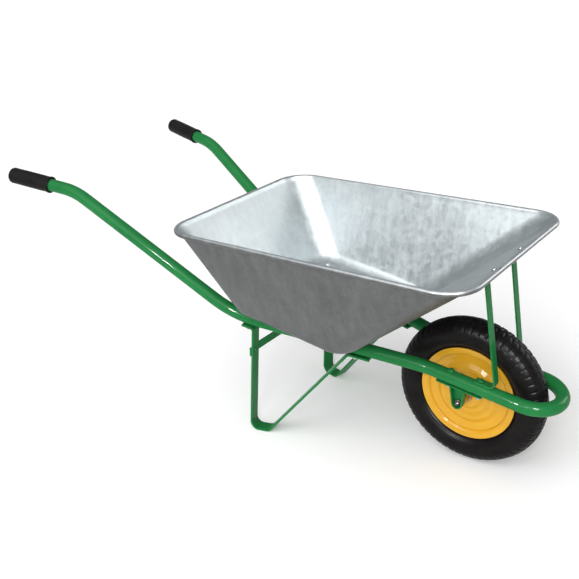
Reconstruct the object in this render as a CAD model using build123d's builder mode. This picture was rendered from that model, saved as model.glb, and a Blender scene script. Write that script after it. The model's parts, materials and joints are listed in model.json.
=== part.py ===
from build123d import *
from math import acos, atan, cos, degrees, radians, sin, tan
import os

# Single-wheel builder's barrow: a bent tube frame, a pressed sheet tray, strip legs and stays,
# and a pneumatic wheel on a fixed axle.
# Millimetres. +X points forward to the wheel, +Y to the left, +Z up. The origin is on the ground,
# midway along the overall length. LEFT and RIGHT are the sides seen from behind the handles.
# The barrow is drawn with its tray rim level. As each piece is saved it is tipped forward about
# the axle, by the small angle that sets the feet and the tyre on the same ground.

LEFT = 1
RIGHT = -1
CLEAR = 0.3

# Wheel position and tyre
AXLE_X = 478.75
AXLE_Z = 180.0
TYRE_R = 180.0
TYRE_HALF_WIDTH = 38.5
CROWN_SKIN = 8.0
SHOULDER_R = 171.5
SHOULDER_Y = 27.0
RIM_SEAT_R = 102.0
RIM_FLANGE_R = 114.5
RIM_FLANGE_Y = 24.2
RIM_SHEET = 2.0
DISC_SHEET = 1.5

# Frame tube: the rails fall forward under the tray and meet in a U-bend round the wheel
TUBE_R = 16.0
TUBE_WALL = 2.0
RAIL_FALL = 0.136
RAIL_Z_AT_AXLE = 235.9
NOSE_HALF_GAP = 67.0
NOSE_START = 141.5
FLARE_BACK = 85.0
KNEE_BACK = 555.0
KNEE_HALF_GAP = 178.0
SHOULDER_BACK = 988.0
SHOULDER_HALF_GAP = 263.0
SHOULDER_Z = 591.0
HANDLE_END_BACK = 1181.0
HANDLE_END_HALF_GAP = 303.0
HANDLE_END_Z = 619.5
SHOULDER_BEND_R = 160.0
KNEE_BEND_R = 300.0
FLARE_BEND_R = 300.0

# Grips
GRIP_LENGTH = 128.0
GRIP_R = 19.5
GRIP_COLLAR_R = 22.0
GRIP_COLLAR_LENGTH = 7.0
GRIP_END_WALL = 4.0

# Tray: horizontal rim, floor parallel to the rails
SHEET = 1.5
RIM_Z = 535.0
RIM_BACK = 680.0
RIM_FRONT = 97.0
RIM_HALF_WIDTH = 265.0
RIM_CORNER_R = 72.0
BEAD_R = 6.0
WIRE_R = 4.4
FLOOR_BACK = 549.0
FLOOR_FRONT = 224.0
FLOOR_HALF_WIDTH = 205.0
FLOOR_CORNER_R = 60.0
FLOOR_FILLET_R = 30.0
FLOOR_FALL = 0.148
FLOOR_GAP = 0.3

# Flat strip legs, stays and brace
LEG_WIDTH = 33.0
LEG_STRIP = 5.0
LEG_FLANGE_BACK = 532.0
LEG_FLANGE_RISE = 2.1
LEG_TOP_BACK = 503.0
FOOT_REAR_BACK = 529.0
FOOT_FRONT_BACK = 481.0
LEG_FRONT_TOP_BACK = 264.0
LEG_FRONT_END_BACK = 213.0
FOOT_BEND_R = 20.0
LEG_BEND_R = 9.0
BRACE_Z = 219.0
BRACE_HEIGHT = 20.0
BRACE_STRIP = 4.0
BRACE_TAB = 34.0
STAY_WIDTH = 20.0
STAY_STRIP = 4.0
STAY_HALF_GAP = 68.0
STAY_FOOT_REAR = 36.0
STAY_FOOT_FRONT = 85.0
STAY_TOP_FORWARD = 53.0
STAY_TAB = 38.0
STAY_BEND_R = 11.0

# Axle brackets
PLATE_REAR = -52.0
PLATE_FRONT = 59.0
PLATE_WIDTH = 24.0
PLATE_STRIP = 3.0
LUG_WEB_INNER = 64.5
LUG_OUTER = 81.0
LUG_TOP_HALF = 18.0
LUG_END_R = 12.5

# Axle and hub
AXLE_R = 5.0
AXLE_HALF_LENGTH = 80.0
RUNNING_CLEARANCE = 0.05
HUB_R = 17.0
HUB_BORE_R = 14.0
HUB_HALF_LENGTH = 36.0
BUSH_LENGTH = 20.0
BUSH_FLANGE = 3.0
SPACER_R = 12.0

# Tyre valve
VALVE_R = 3.8
VALVE_SIDE = LEFT
VALVE_ANGLE = 1.05
VALVE_ROOT = 12.0
VALVE_REACH = 34.0

# Fasteners: shank radius, nut size across flats and height, washer thickness, the thread that
# shows past each nut, and the bolt stations, measured forward of the axle
M8_R = 4.0
M8_NUT = (13.0, 6.5)
M6_R = 3.0
M6_NUT = (10.0, 5.0)
AXLE_NUT = (14.0, 7.0)
WASHER_R = 8.5
WASHER_STRIP = 1.6
WASHER_DROP = 0.8
M8_TAIL = 10.0
M6_TAIL = 8.0
TRAY_HEAD_R = 7.5
TRAY_HEAD_HEIGHT = 4.0
BRACKET_HEAD = (8.0, 5.0)
STAY_HEAD = (7.0, 3.6)
BRACE_HEAD = (6.5, 3.6)
TRAY_BOLT_STATIONS = (-518.0, -249.0)
BRACKET_BOLT_STATIONS = (-23.0, 48.0)
STAY_BOLT_FORWARD = 71.0

# Drawn ground: how fast it falls towards the handles while the tray rim is level
GROUND_FALL = 0.015
GROUND_TILT = atan(GROUND_FALL)

RAIL_TILT = atan(RAIL_FALL)
RAIL_UP = Vector(sin(RAIL_TILT), 0, cos(RAIL_TILT))
RAIL_FORWARD = Vector(cos(RAIL_TILT), 0, -sin(RAIL_TILT))
FLOOR_TILT = atan(FLOOR_FALL)
FLOOR_UP = Vector(sin(FLOOR_TILT), 0, cos(FLOOR_TILT))
FLOOR_FORWARD = Vector(cos(FLOOR_TILT), 0, -sin(FLOOR_TILT))
FLARE_SLOPE = (KNEE_HALF_GAP - NOSE_HALF_GAP) / (KNEE_BACK - FLARE_BACK)
FLARE_TURN = atan(FLARE_SLOPE)
WHEEL_PLANE = Plane(origin=(AXLE_X, 0, AXLE_Z), x_dir=(1, 0, 0), z_dir=(0, 0, 1))
WHEEL_AXIS = Axis((AXLE_X, 0, AXLE_Z), (0, 1, 0))


def rail_half_gap(forward):
    """Distance of a rail's centre from the middle plane, at a station forward of the axle."""
    return NOSE_HALF_GAP + max(0.0, -FLARE_BACK - forward) * FLARE_SLOPE


def rail_point(forward, side, lift=0.0):
    """Point on a rail's centre line, moved up square to the rail by lift."""
    height = RAIL_Z_AT_AXLE - RAIL_FALL * forward
    centre = Vector(AXLE_X + forward, side * rail_half_gap(forward), height)
    return centre + RAIL_UP * lift


def rail_plane(forward, side, lift=0.0):
    """Plane across a rail's height, also where the rail starts to bend up at the knee."""
    into_bend = max(0.0, -forward - knee_bend_start()) / cos(FLARE_TURN)
    turn = into_bend / KNEE_BEND_R
    up = RAIL_UP * cos(turn) + RAIL_FORWARD * sin(turn)
    along = RAIL_FORWARD * cos(turn) - RAIL_UP * sin(turn)
    centre = rail_point(forward, side, into_bend**2 / (2 * KNEE_BEND_R))
    return Plane(origin=centre + up * lift, x_dir=along, z_dir=up)


def ground_height(back):
    """Height of the drawn ground, at a distance behind the axle. It touches the tyre."""
    return AXLE_Z - AXLE_Z / cos(GROUND_TILT) - GROUND_FALL * back


def knee_bend_start():
    """How far behind the axle the rails start to bend up to the handles."""
    knee = rail_point(-KNEE_BACK, LEFT)
    ahead = (rail_point(-FLARE_BACK, LEFT) - knee).normalized()
    behind = (shoulder_point(LEFT) - knee).normalized()
    turn = radians(180 - ahead.get_angle(behind))
    return KNEE_BACK - KNEE_BEND_R * tan(turn / 2) * ahead.X


def floor_plane(back, lift=0.0):
    """Plane on the underside of the tray floor, at a distance behind the axle."""
    front_z = RAIL_Z_AT_AXLE + RAIL_FALL * FLOOR_FRONT + TUBE_R / cos(RAIL_TILT) + FLOOR_GAP
    height = front_z + FLOOR_FALL * (back - FLOOR_FRONT)
    spot = Vector(AXLE_X - back, 0, height) + FLOOR_UP * lift
    return Plane(origin=spot, x_dir=FLOOR_FORWARD, z_dir=FLOOR_UP)


def shoulder_point(side):
    return Vector(AXLE_X - SHOULDER_BACK, side * SHOULDER_HALF_GAP, SHOULDER_Z)


def handle_end(side):
    return Vector(AXLE_X - HANDLE_END_BACK, side * HANDLE_END_HALF_GAP, HANDLE_END_Z)


def front_wall_line():
    """Top outer point of the tray's front wall and the unit vector up along the wall."""
    top = Vector(AXLE_X + RIM_FRONT - BEAD_R + SHEET, 0, RIM_Z)
    return top, (top - floor_plane(FLOOR_FRONT).origin).normalized()


def front_wall_plane(forward, half_gap, side):
    """Plane on the tray's front wall, outer face, with its Z axis pointing into the tray."""
    top, up_wall = front_wall_line()
    steps = (AXLE_X + forward - top.X) / up_wall.X
    spot = top + up_wall * steps
    return Plane(
        origin=(spot.X, side * half_gap, spot.Z), x_dir=up_wall, z_dir=(-up_wall.Z, 0, up_wall.X)
    )


# ---------------------------------------------------------------- fasteners

def dome_bolt(shank_r, length, head_r, head_height):
    """Round-headed bolt: the head's seat is at Z = 0 and the shank points down."""
    with BuildPart() as bolt:
        with BuildSketch(Plane.XY):
            Circle(shank_r)
        extrude(amount=-length)
        chamfer(bolt.edges().sort_by(Axis.Z)[0], length=0.8)
        with BuildSketch(Plane.XY):
            Circle(head_r)
        extrude(amount=head_height)
        fillet(bolt.edges().filter_by(GeomType.CIRCLE).sort_by(Axis.Z)[-1], radius=0.8 * head_height)
    return bolt.part


def hex_nut(shank_r, across_flats, height):
    """Hexagon nut with its top face at Z = 0."""
    with BuildPart() as nut:
        with BuildSketch(Plane.XY):
            RegularPolygon(radius=across_flats / 2, side_count=6, major_radius=False)
            Circle(shank_r + RUNNING_CLEARANCE, mode=Mode.SUBTRACT)
        extrude(amount=-height)
        chamfer(nut.edges().filter_by(GeomType.LINE).group_by(Axis.Z)[0], length=0.7)
    return nut.part


def plain_washer(shank_r, outer_r, thickness):
    """Flat washer with its top face at Z = 0."""
    with BuildPart() as washer:
        with BuildSketch(Plane.XY):
            Circle(outer_r)
            Circle(shank_r + CLEAR, mode=Mode.SUBTRACT)
        extrude(amount=-thickness)
    return washer.part


def placed_copies(piece, planes):
    """Separate copies of one fastener, one on each plane."""
    with BuildPart() as group:
        with Locations(*planes):
            add(piece)
    return group


def save(builder, name):
    """Tip a finished piece on to its feet, label it and write it as one STEP file."""
    standing = builder.part.rotate(WHEEL_AXIS, degrees(GROUND_TILT))
    standing.label = name
    export_step(standing, f"parts/{name}.step")


# ---------------------------------------------------------------- frame

def build_frame_tube():
    """One hollow tube from handle to handle, bent round the front of the wheel."""
    sides = {}
    for side in (LEFT, RIGHT):
        sides[side] = [
            handle_end(side),
            shoulder_point(side),
            rail_point(-KNEE_BACK, side),
            rail_point(-FLARE_BACK, side),
            rail_point(NOSE_START, side),
        ]
    bends = [SHOULDER_BEND_R, KNEE_BEND_R, FLARE_BEND_R]
    nose_middle = Vector(AXLE_X + NOSE_START, 0, RAIL_Z_AT_AXLE - RAIL_FALL * NOSE_START)
    apex = nose_middle + RAIL_FORWARD * NOSE_HALF_GAP
    start = (shoulder_point(LEFT) - handle_end(LEFT)).normalized()
    stations = TRAY_BOLT_STATIONS + BRACKET_BOLT_STATIONS
    holes = [rail_plane(forward, side) for forward in stations for side in (LEFT, RIGHT)]
    with BuildPart() as tube:
        with BuildLine() as route:
            FilletPolyline(*sides[LEFT], radius=bends)
            ThreePointArc(sides[LEFT][-1], apex, sides[RIGHT][-1])
            FilletPolyline(*reversed(sides[RIGHT]), radius=list(reversed(bends)))
        with BuildSketch(Plane(origin=handle_end(LEFT), z_dir=start)):
            Circle(TUBE_R)
            Circle(TUBE_R - TUBE_WALL, mode=Mode.SUBTRACT)
        sweep(path=route.wire())
        with Locations(*holes):
            Cylinder(M8_R + CLEAR, 3 * TUBE_R, mode=Mode.SUBTRACT)
    save(tube, "frame_tube")


def build_grip(side, name):
    """Closed rubber sleeve over the end of a handle, with a collar at its inner end."""
    along = (shoulder_point(side) - handle_end(side)).normalized()
    start = Plane(origin=handle_end(side) - along * GRIP_END_WALL, z_dir=along)
    with BuildPart() as grip:
        with BuildSketch(start):
            Circle(GRIP_R)
        extrude(amount=GRIP_LENGTH)
        with BuildSketch(start.offset(GRIP_LENGTH - GRIP_COLLAR_LENGTH)):
            Circle(GRIP_COLLAR_R)
        extrude(amount=GRIP_COLLAR_LENGTH)
        fillet(grip.edges().filter_by(GeomType.CIRCLE).sort_by_distance(start.origin)[0], radius=6)
        with BuildSketch(start.offset(GRIP_END_WALL)):
            Circle(TUBE_R + RUNNING_CLEARANCE)
        extrude(amount=GRIP_LENGTH, mode=Mode.SUBTRACT)
    save(grip, name)


# ---------------------------------------------------------------- tray

def tray_body(inset):
    """Solid the size of the tray, from its floor to its rim, with every face moved in by inset."""
    floor_middle = (FLOOR_BACK + FLOOR_FRONT) / 2
    floor_length = (FLOOR_BACK - FLOOR_FRONT) / cos(FLOOR_TILT)
    rim_inset = inset + BEAD_R - SHEET
    with BuildPart() as body:
        with BuildSketch(floor_plane(floor_middle, inset)):
            RectangleRounded(
                floor_length - 2 * inset,
                2 * (FLOOR_HALF_WIDTH - inset),
                FLOOR_CORNER_R - inset,
            )
        with BuildSketch(Plane.XY.offset(RIM_Z)):
            with Locations((AXLE_X + (RIM_FRONT - RIM_BACK) / 2, 0)):
                RectangleRounded(
                    RIM_FRONT + RIM_BACK - 2 * rim_inset,
                    2 * (RIM_HALF_WIDTH - rim_inset),
                    RIM_CORNER_R - rim_inset,
                )
        loft(ruled=True)
        floor_edges = body.faces().sort_by(Axis((0, 0, 0), FLOOR_UP))[0].edges()
        fillet(floor_edges, radius=FLOOR_FILLET_R - inset)
    return body.part


def bead_path():
    """Centre line of the rolled bead round the rim."""
    middle = AXLE_X + (RIM_FRONT - RIM_BACK) / 2
    with BuildSketch(Plane.XY.offset(RIM_Z)) as outline:
        with Locations((middle, 0)):
            RectangleRounded(RIM_FRONT + RIM_BACK, 2 * RIM_HALF_WIDTH, RIM_CORNER_R)
    return outline.sketch.face().outer_wire()


def bead_section_plane():
    """Plane across the bead, at the middle of the right side."""
    middle = AXLE_X + (RIM_FRONT - RIM_BACK) / 2
    return Plane(origin=(middle, -RIM_HALF_WIDTH, RIM_Z), x_dir=(0, 1, 0), z_dir=(1, 0, 0))


def build_tray():
    """Pressed sheet tray with its edge rolled into a hollow bead."""
    outside = tray_body(0)
    inside = tray_body(SHEET)
    wall_bolts = [front_wall_plane(STAY_BOLT_FORWARD, STAY_HALF_GAP, side) for side in (LEFT, RIGHT)]
    floor_bolts = []
    for forward in TRAY_BOLT_STATIONS:
        floor_bolts += [rail_plane(forward, side, TUBE_R) for side in (LEFT, RIGHT)]
    rim_path = bead_path()
    with BuildPart() as tray:
        add(outside)
        add(inside, mode=Mode.SUBTRACT)
        with BuildSketch(bead_section_plane()):
            Circle(BEAD_R)
            Circle(BEAD_R - SHEET, mode=Mode.SUBTRACT)
        sweep(path=rim_path)
        with Locations(*floor_bolts):
            Cylinder(M8_R + CLEAR, 6 * SHEET, mode=Mode.SUBTRACT)
        with Locations(*wall_bolts):
            Cylinder(M6_R + CLEAR, 6 * SHEET, mode=Mode.SUBTRACT)
    save(tray, "tray")


def build_rim_wire():
    """Stiffening wire inside the rolled bead."""
    rim_path = bead_path()
    with BuildPart() as wire:
        with BuildSketch(bead_section_plane()):
            Circle(WIRE_R)
        sweep(path=rim_path)
    save(wire, "rim_wire")


# ---------------------------------------------------------------- legs, brace and stays

def leg_plane(side):
    """Upright plane under a rail. X points forward along the rail, Z lies along the ground."""
    across = Vector(-side * sin(FLARE_TURN), -cos(FLARE_TURN), -side * sin(FLARE_TURN) * GROUND_FALL)
    return Plane(
        origin=(AXLE_X - FLARE_BACK, side * NOSE_HALF_GAP, 0),
        x_dir=(cos(FLARE_TURN), -side * sin(FLARE_TURN), 0),
        z_dir=across.normalized(),
    )


def leg_spot(back, height):
    """Point in a leg's plane, from a distance behind the axle and a height."""
    return ((FLARE_BACK - back) / cos(FLARE_TURN), height)


def foot_height(back):
    """Height of the middle of a strip that stands on the ground."""
    return ground_height(back) + LEG_STRIP / 2 / cos(GROUND_TILT)


def under_rail(back):
    """Height of the middle of a strip that lies against the underside of a rail."""
    return RAIL_Z_AT_AXLE + RAIL_FALL * back - (TUBE_R + LEG_STRIP / 2) / cos(RAIL_TILT)


def build_leg(side, name):
    """Strip bent into a V: two flanges under the rail, a foot, an upright and a sloping arm."""
    with BuildPart() as leg:
        with BuildSketch(leg_plane(side)):
            with BuildLine() as route:
                FilletPolyline(
                    leg_spot(LEG_FLANGE_BACK, under_rail(LEG_FLANGE_BACK) + LEG_FLANGE_RISE),
                    leg_spot(LEG_TOP_BACK, under_rail(LEG_TOP_BACK)),
                    leg_spot(FOOT_REAR_BACK, foot_height(FOOT_REAR_BACK)),
                    leg_spot(FOOT_FRONT_BACK, foot_height(FOOT_FRONT_BACK)),
                    leg_spot(LEG_FRONT_TOP_BACK, under_rail(LEG_FRONT_TOP_BACK)),
                    leg_spot(LEG_FRONT_END_BACK, under_rail(LEG_FRONT_END_BACK)),
                    radius=[LEG_BEND_R, FOOT_BEND_R, FOOT_BEND_R, LEG_BEND_R],
                )
            trace(route.wire(), line_width=LEG_STRIP)
        extrude(amount=LEG_WIDTH / 2, both=True)
        with Locations(*[rail_plane(forward, side, -TUBE_R) for forward in TRAY_BOLT_STATIONS]):
            Cylinder(M8_R + CLEAR, 6 * LEG_STRIP, mode=Mode.SUBTRACT)
        with Locations(brace_bolt_plane(side)):
            Cylinder(M6_R + CLEAR, 4 * LEG_STRIP, mode=Mode.SUBTRACT)
    save(leg, name)


def upright_direction(side):
    """Unit vector up along a leg's upright."""
    top = leg_plane(side).from_local_coords(leg_spot(LEG_TOP_BACK, under_rail(LEG_TOP_BACK)))
    foot = leg_plane(side).from_local_coords(leg_spot(FOOT_REAR_BACK, foot_height(FOOT_REAR_BACK)))
    return (top - foot).normalized()


def brace_bolt_plane(side):
    """Plane in the middle of an upright at the brace, with its Z axis pointing forward."""
    up = upright_direction(side)
    foot = leg_plane(side).from_local_coords(leg_spot(FOOT_REAR_BACK, foot_height(FOOT_REAR_BACK)))
    spot = foot + up * ((BRACE_Z - foot.Z) / up.Z)
    across = leg_plane(side).z_dir
    forward = across.cross(up) if across.cross(up).X > 0 else up.cross(across)
    return Plane(origin=spot, x_dir=up, z_dir=forward)


def build_leg_brace():
    """Strip between the uprights, with its ends bent to lie on their rear faces."""
    up = upright_direction(LEFT)
    lean = Vector(up.X, 0, up.Z).normalized()
    offset_back = (LEG_STRIP + BRACE_STRIP) / 2 + CLEAR
    bolt = brace_bolt_plane(LEFT)
    behind = bolt.origin - bolt.z_dir * offset_back
    level = Plane(origin=(behind.X, 0, behind.Z), x_dir=(0, 1, 0), z_dir=lean)
    tab_reach = Vector(cos(FLARE_TURN), -sin(FLARE_TURN)) * (BRACE_TAB / 2)
    middle = Vector(behind.Y, 0)
    bend = middle - tab_reach
    with BuildPart() as brace:
        with BuildSketch(level):
            with BuildLine() as route:
                Polyline(
                    middle + tab_reach,
                    bend,
                    (-bend.X, bend.Y),
                    (-middle.X - tab_reach.X, tab_reach.Y),
                )
            trace(route.wire(), line_width=BRACE_STRIP)
        extrude(amount=BRACE_HEIGHT / 2, both=True)
        with Locations(*[brace_bolt_plane(side) for side in (LEFT, RIGHT)]):
            Cylinder(M6_R + CLEAR, 8 * BRACE_STRIP, mode=Mode.SUBTRACT)
    save(brace, "leg_brace")


def build_front_stay(side, name):
    """Strip from the top of a rail up to the tray's front wall, with a bent foot and a bent tab."""
    seat = TUBE_R + STAY_STRIP / 2
    top, up_wall = front_wall_line()
    under_wall = Vector(up_wall.Z, 0, -up_wall.X) * (STAY_STRIP / 2 + CLEAR)
    reach = (AXLE_X + STAY_TOP_FORWARD - top.X) / up_wall.X
    corner = top + up_wall * reach + under_wall
    tab_end = corner + up_wall * STAY_TAB
    foot_rear = rail_point(STAY_FOOT_REAR, 0, seat)
    foot_front = rail_point(STAY_FOOT_FRONT, 0, seat)
    stations = [foot_rear, foot_front, corner, tab_end]
    upright = Plane(origin=(0, side * STAY_HALF_GAP, 0), x_dir=(1, 0, 0), z_dir=(0, -1, 0))
    with BuildPart() as stay:
        with BuildSketch(upright):
            with BuildLine() as route:
                FilletPolyline(*[(spot.X, spot.Z) for spot in stations], radius=STAY_BEND_R)
            trace(route.wire(), line_width=STAY_STRIP)
        extrude(amount=STAY_WIDTH / 2, both=True)
        with Locations(rail_plane(BRACKET_BOLT_STATIONS[1], side, TUBE_R)):
            Cylinder(M8_R + CLEAR, 6 * STAY_STRIP, mode=Mode.SUBTRACT)
        with Locations(front_wall_plane(STAY_BOLT_FORWARD, STAY_HALF_GAP, side)):
            Cylinder(M6_R + CLEAR, 6 * STAY_STRIP, mode=Mode.SUBTRACT)
    save(stay, name)


# ---------------------------------------------------------------- axle brackets

def lug_outline(inset):
    """Tapered lug with a round end about the axle, every edge moved in by inset."""
    height = RAIL_Z_AT_AXLE - TUBE_R - PLATE_STRIP / 2
    half = LUG_TOP_HALF - inset
    with BuildSketch(Plane.XY) as outline:
        with BuildLine():
            CenterArc((AXLE_X, AXLE_Z), LUG_END_R - inset, 180, 180)
            Line((AXLE_X - half, height + RAIL_FALL * half), (AXLE_X + half, height - RAIL_FALL * half))
        make_hull()
    return outline.sketch


def build_axle_bracket(side, name):
    """Plate bolted under a rail, with a folded lug that hangs down and holds the axle."""
    middle = (PLATE_REAR + PLATE_FRONT) / 2
    depth = LUG_OUTER - LUG_WEB_INNER
    lug_face = Plane(origin=(0, side * LUG_OUTER, 0), x_dir=(1, 0, 0), z_dir=(0, -1, 0))
    outside = lug_outline(0)
    hollow = lug_outline(PLATE_STRIP)
    with BuildPart() as bracket:
        with BuildSketch(lug_face):
            add(outside)
        extrude(amount=side * depth)
        with BuildSketch(lug_face):
            add(hollow)
        extrude(amount=side * (depth - PLATE_STRIP), mode=Mode.SUBTRACT)
        with BuildSketch(rail_plane(middle, side, -TUBE_R)):
            RectangleRounded((PLATE_FRONT - PLATE_REAR) / cos(RAIL_TILT), PLATE_WIDTH, 5)
        extrude(amount=-PLATE_STRIP)
        with Locations(*[rail_plane(forward, side, -TUBE_R) for forward in BRACKET_BOLT_STATIONS]):
            Cylinder(M8_R + CLEAR, 6 * PLATE_STRIP, mode=Mode.SUBTRACT)
        with Locations(Plane(origin=(AXLE_X, side * LUG_WEB_INNER, AXLE_Z), z_dir=(0, 1, 0))):
            Cylinder(AXLE_R + RUNNING_CLEARANCE, 4 * PLATE_STRIP, mode=Mode.SUBTRACT)
    save(bracket, name)


# ---------------------------------------------------------------- wheel

def ring(inner_r, outer_r, start_y, end_y, name):
    """Plain ring about the axle."""
    with BuildPart() as piece:
        with BuildSketch(WHEEL_PLANE):
            with BuildLine():
                Polyline(
                    (inner_r, start_y), (outer_r, start_y), (outer_r, end_y), (inner_r, end_y), close=True
                )
            make_face()
        revolve(axis=WHEEL_AXIS)
    save(piece, name)


def build_tyre():
    """Open-sided rubber tyre whose beads sit in the rim."""
    with BuildPart() as tyre:
        with BuildSketch(WHEEL_PLANE):
            with BuildLine():
                for way in (LEFT, RIGHT):
                    bead_top = (RIM_FLANGE_R + 3, way * (RIM_FLANGE_Y - 0.9))
                    heel = (RIM_SEAT_R + 2.6, way * (RIM_FLANGE_Y - 3.7))
                    bead_end = (RIM_SEAT_R + 1.6, way * (RIM_FLANGE_Y - 14.5))
                    toe = (110, way * (RIM_FLANGE_Y - 12.5))
                    inner_bead = (117, way * (RIM_FLANGE_Y - 6.5))
                    shoulder = (SHOULDER_R, way * SHOULDER_Y)
                    inner_shoulder = (SHOULDER_R - 7, way * (SHOULDER_Y - 7))
                    ThreePointArc(shoulder, (146, way * TYRE_HALF_WIDTH), bead_top)
                    Polyline(bead_top, heel, bead_end, toe, inner_bead)
                    ThreePointArc(inner_bead, (144, way * (TYRE_HALF_WIDTH - 5)), inner_shoulder)
                ThreePointArc((SHOULDER_R, SHOULDER_Y), (TYRE_R, 0), (SHOULDER_R, -SHOULDER_Y))
                inner_edge = (SHOULDER_R - 7, SHOULDER_Y - 7)
                ThreePointArc(inner_edge, (TYRE_R - CROWN_SKIN, 0), (inner_edge[0], -inner_edge[1]))
            make_face()
        revolve(axis=WHEEL_AXIS)
    save(tyre, "tyre")


def build_inner_tube():
    """Inflated rubber tube inside the tyre."""
    centre_r = 141.0
    tube_r = 29.0
    skin = 2.0
    with BuildPart() as inner:
        with BuildSketch(WHEEL_PLANE):
            with Locations((centre_r, 0)):
                Circle(tube_r)
                Circle(tube_r - skin, mode=Mode.SUBTRACT)
        revolve(axis=WHEEL_AXIS)
    save(inner, "inner_tube")


def build_rim():
    """Drop-centre rim barrel with a flange at each side."""
    well_r = RIM_SEAT_R - 9
    half = [
        (RIM_FLANGE_R, RIM_FLANGE_Y),
        (RIM_SEAT_R + 1, RIM_FLANGE_Y - 2),
        (RIM_SEAT_R - 1, RIM_FLANGE_Y - 13),
        (well_r, RIM_FLANGE_Y - 17),
    ]
    mirrored = [(r, -y) for r, y in reversed(half)]
    with BuildPart() as rim:
        with BuildSketch(WHEEL_PLANE):
            with BuildLine() as section:
                FilletPolyline(*half, *mirrored, radius=2.5)
            trace(section.wire(), line_width=RIM_SHEET)
        revolve(axis=WHEEL_AXIS)
        with Locations(valve_plane()):
            Cylinder(VALVE_R + CLEAR, 40, mode=Mode.SUBTRACT)
    save(rim, "rim")


def build_wheel_disc(side, name):
    """Pressed dish on one side of the rim: rolled edge, ring step, raised ring and hub boss."""
    edge_y = RIM_FLANGE_Y + (RIM_SHEET + DISC_SHEET) / 2 + CLEAR
    profile = [
        (RIM_FLANGE_R + 0.8, 0.3, 0.0),
        (103.5, 0.0, 2.5),
        (99.3, -3.1, 2.5),
        (97.5, -8.0, 2.5),
        (88.0, -9.0, 2.5),
        (77.0, -8.6, 6.0),
        (66.0, -1.0, 7.0),
        (60.0, -0.4, 7.0),
        (50.0, -5.5, 4.0),
        (40.0, -4.0, 4.0),
        (30.0, 4.0, 4.0),
        (HUB_R + 0.1, 4.5, 0.0),
    ]
    stations = [(r, side * (edge_y + y)) for r, y, _ in profile]
    bends = [bend for _, _, bend in profile[1:-1]]
    with BuildPart() as disc:
        with BuildSketch(WHEEL_PLANE):
            with BuildLine() as section:
                FilletPolyline(*stations, radius=bends)
            trace(section.wire(), line_width=DISC_SHEET)
        revolve(axis=WHEEL_AXIS)
        if side == VALVE_SIDE:
            with Locations(valve_plane()):
                Cylinder(VALVE_R + 1.5, 80, mode=Mode.SUBTRACT)
    save(disc, name)


def valve_plane():
    """Plane on the valve's axis in the rim's well, with its Z axis out through the disc."""
    lean = Vector(-cos(VALVE_ANGLE), VALVE_SIDE * sin(VALVE_ANGLE))
    root = WHEEL_PLANE.from_local_coords((RIM_SEAT_R - 5, VALVE_SIDE * 4))
    return Plane(origin=root, z_dir=(lean.X, lean.Y, 0))


def build_valve():
    """Valve stem from the inner tube out through the rim and one disc, and its screw cap."""
    with BuildPart() as stem:
        with BuildSketch(valve_plane().offset(-VALVE_ROOT)):
            Circle(VALVE_R)
        extrude(amount=VALVE_ROOT + VALVE_REACH)
    save(stem, "valve_stem")
    cap_length = 12.0
    cap_wall = 1.3
    with BuildPart() as cap:
        with BuildSketch(valve_plane().offset(VALVE_REACH - cap_length + 3)):
            Circle(VALVE_R + cap_wall)
        extrude(amount=cap_length)
        fillet(cap.faces().sort_by(Axis(valve_plane().origin, valve_plane().z_dir))[-1].edges(), radius=1.5)
        with BuildSketch(valve_plane()):
            Circle(VALVE_R + RUNNING_CLEARANCE)
        extrude(amount=VALVE_REACH + RUNNING_CLEARANCE, mode=Mode.SUBTRACT)
    save(cap, "valve_cap")


def build_hub():
    """Hub tube, its two flanged bushes, the fixed axle and the spacers either side."""
    ring(HUB_BORE_R, HUB_R, -HUB_HALF_LENGTH, HUB_HALF_LENGTH, "hub_tube")
    bore_r = AXLE_R + RUNNING_CLEARANCE
    for side, name in ((LEFT, "left"), (RIGHT, "right")):
        with BuildPart() as bush:
            with BuildSketch(WHEEL_PLANE):
                with BuildLine():
                    Polyline(
                        (bore_r, side * (HUB_HALF_LENGTH - BUSH_LENGTH)),
                        (HUB_BORE_R, side * (HUB_HALF_LENGTH - BUSH_LENGTH)),
                        (HUB_BORE_R, side * HUB_HALF_LENGTH),
                        (HUB_R, side * HUB_HALF_LENGTH),
                        (HUB_R, side * (HUB_HALF_LENGTH + BUSH_FLANGE)),
                        (bore_r, side * (HUB_HALF_LENGTH + BUSH_FLANGE)),
                        close=True,
                    )
                make_face()
            revolve(axis=WHEEL_AXIS)
        save(bush, f"{name}_wheel_bush")
        ring(
            AXLE_R,
            SPACER_R,
            side * (HUB_HALF_LENGTH + BUSH_FLANGE + CLEAR),
            side * LUG_WEB_INNER,
            f"{name}_axle_spacer",
        )
    with BuildPart() as axle:
        with Locations(Plane(origin=(AXLE_X, 0, AXLE_Z), z_dir=(0, 1, 0))):
            Cylinder(AXLE_R, 2 * AXLE_HALF_LENGTH)
        chamfer(axle.edges().filter_by(GeomType.CIRCLE), length=1)
    save(axle, "axle")
    outside_web = LUG_WEB_INNER + PLATE_STRIP
    faces = []
    for side in (LEFT, RIGHT):
        faces.append(Plane(origin=(AXLE_X, side * outside_web, AXLE_Z), z_dir=(0, -side, 0)))
    save(placed_copies(hex_nut(AXLE_R, *AXLE_NUT), faces), "axle_nuts")


# ---------------------------------------------------------------- bolts, nuts and washers

def tray_head_plane(forward, side):
    """Seat of a bolt head on the tray floor, just clear of it all round."""
    axis = rail_plane(forward, side)
    floor = floor_plane(-forward, SHEET)
    slant = axis.z_dir.dot(floor.z_dir)
    reach = (floor.origin - axis.origin).dot(floor.z_dir) / slant
    return axis.offset(reach + TRAY_HEAD_R * sin(acos(slant)))


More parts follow.
